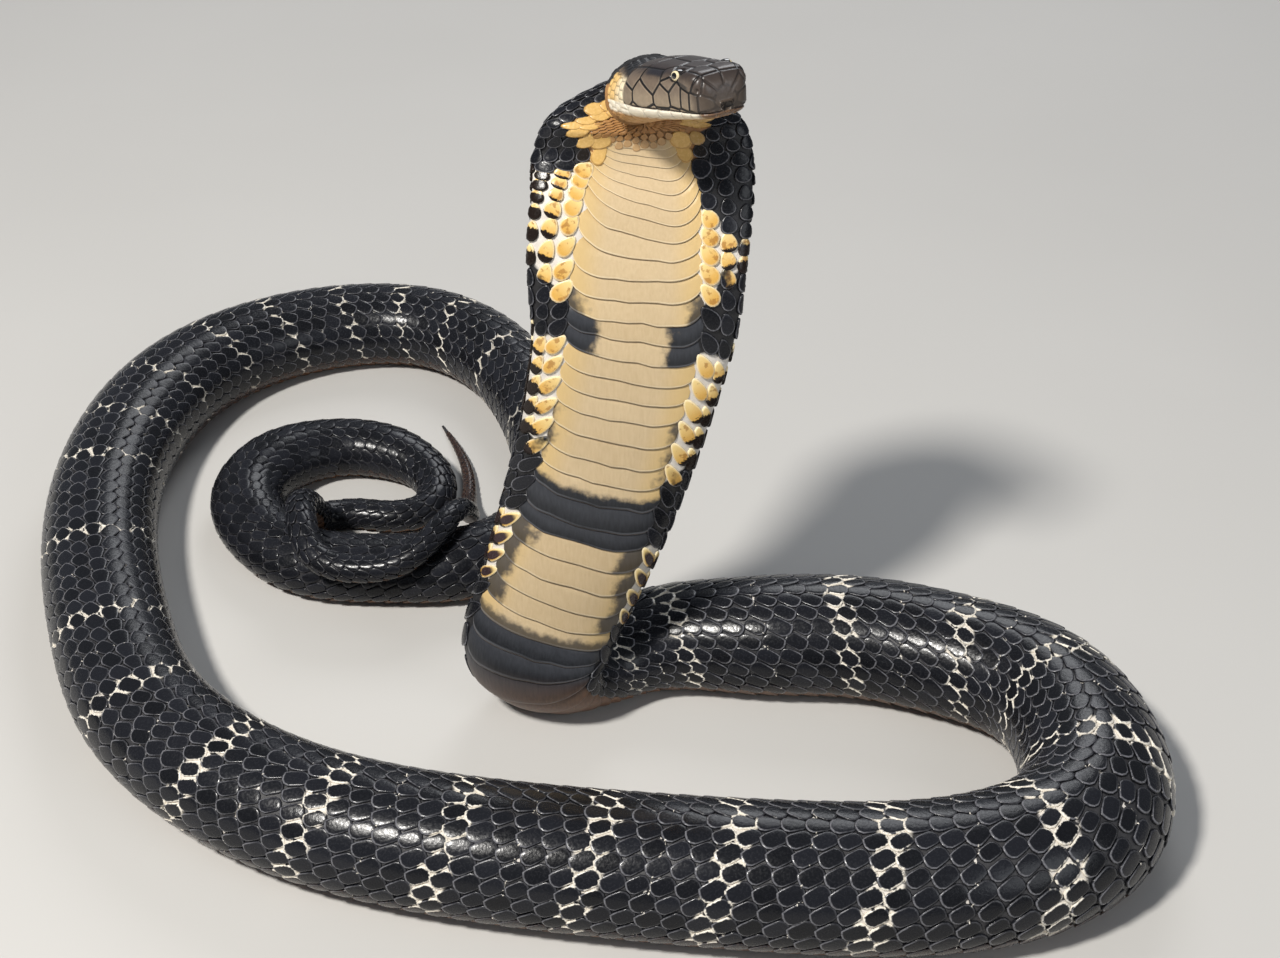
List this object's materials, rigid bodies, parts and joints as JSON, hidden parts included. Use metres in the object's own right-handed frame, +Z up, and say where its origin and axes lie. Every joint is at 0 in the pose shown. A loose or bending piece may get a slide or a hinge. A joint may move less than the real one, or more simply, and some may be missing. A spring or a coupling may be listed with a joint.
{
  "type": "king cobra",
  "caption": "Life-size king cobra at rest: front raised with the hood spread, scaled body looped on the ground, tail coiled back over itself.",
  "frame": {"origin": "on the floor under the middle of the model's box", "axes": "+Z up; the snake's head and belly plates face -Y, +X is to its left"},
  "size_m": [0.58, 0.551, 0.3555],
  "materials": {
    "black_scales": "glossy blue-black scales with narrow cream bands",
    "belly_plates": "smooth cream to tan belly plates with dark bands",
    "head_shields": "smooth olive-brown head shields with black seams",
    "eye": "wet-looking eye with a gold ring round a round black pupil"
  },
  "bodies": {
    "root": {"head": "head_shields", "eye_right": "eye", "eye_left": "eye", "hood_top": "belly_plates", "hood_middle": "belly_plates", "hood_bottom": "belly_plates", "neck": "belly_plates", "neck_base": "belly_plates", "body_01": "black_scales", "body_02": "black_scales", "body_03": "black_scales", "body_04": "black_scales", "body_05": "black_scales", "body_06": "black_scales", "body_07": "black_scales", "body_08": "black_scales", "body_09": "black_scales", "body_10": "black_scales", "body_11": "black_scales", "body_12": "black_scales", "body_13": "black_scales", "body_14": "black_scales", "body_15": "black_scales", "body_16": "black_scales", "tail_01": "black_scales", "tail_02": "black_scales", "tail_03": "black_scales", "tail_04": "black_scales", "tail_05": "black_scales", "tail_06": "black_scales", "tail_07": "black_scales"}
  },
  "joints": []
}
